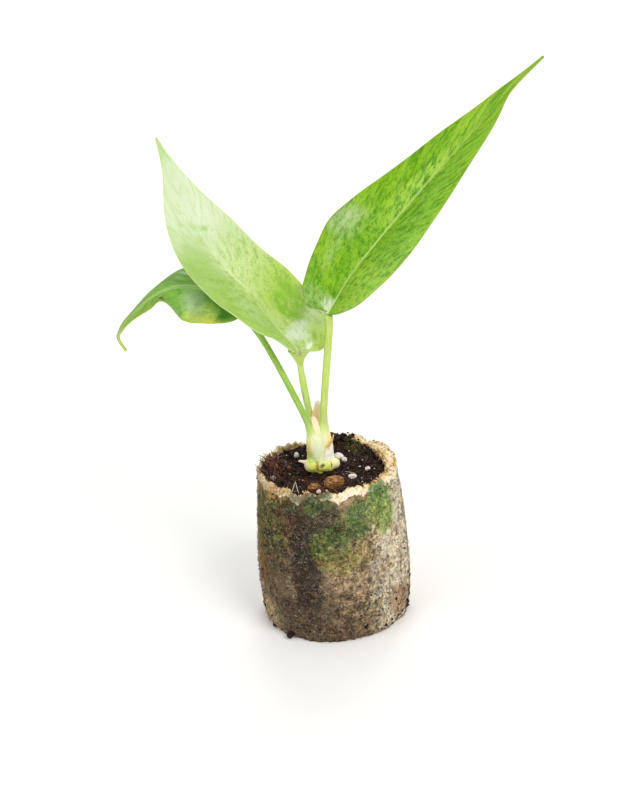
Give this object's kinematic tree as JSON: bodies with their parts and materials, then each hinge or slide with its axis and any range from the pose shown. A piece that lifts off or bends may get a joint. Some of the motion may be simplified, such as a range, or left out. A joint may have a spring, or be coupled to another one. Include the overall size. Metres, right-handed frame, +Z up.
{
  "type": "potted anthurium hookeri young plant",
  "caption": "Young anthurium hookeri with long pointed leaves on slender stalks, rooted in potting mix inside a moss-stained paper propagation plug.",
  "frame": {"origin": "middle of the plug's flat bottom", "axes": "+Z up along the plug, +X to the right seen from the front, +Y to the back"},
  "size_m": [0.1162, 0.0439, 0.1449],
  "materials": {
    "paper": "rough fibre paper, stained",
    "mix": "moist crumbly potting mix",
    "perlite": "chalky",
    "bark": "rough",
    "crown": "waxy",
    "stalk": "waxy",
    "leaf_green": "satin",
    "leaf_pale": "satin",
    "leaf_dark": "satin",
    "bract": "dry and papery",
    "sheath": "waxy"
  },
  "bodies": {
    "root": {"paper_sleeve": "paper", "soil_core": "mix", "perlite_1": "perlite", "perlite_2": "perlite", "perlite_3": "perlite", "perlite_4": "perlite", "perlite_5": "perlite", "perlite_6": "perlite", "bark_chip_1": "bark", "bark_chip_2": "bark", "crown": "crown", "petiole_right": "stalk", "leaf_right": "leaf_green", "petiole_middle": "stalk", "leaf_middle": "leaf_pale", "petiole_left": "stalk", "leaf_left": "leaf_dark", "bract_front": "bract", "bract_back": "bract", "bract_right": "sheath"}
  },
  "joints": []
}
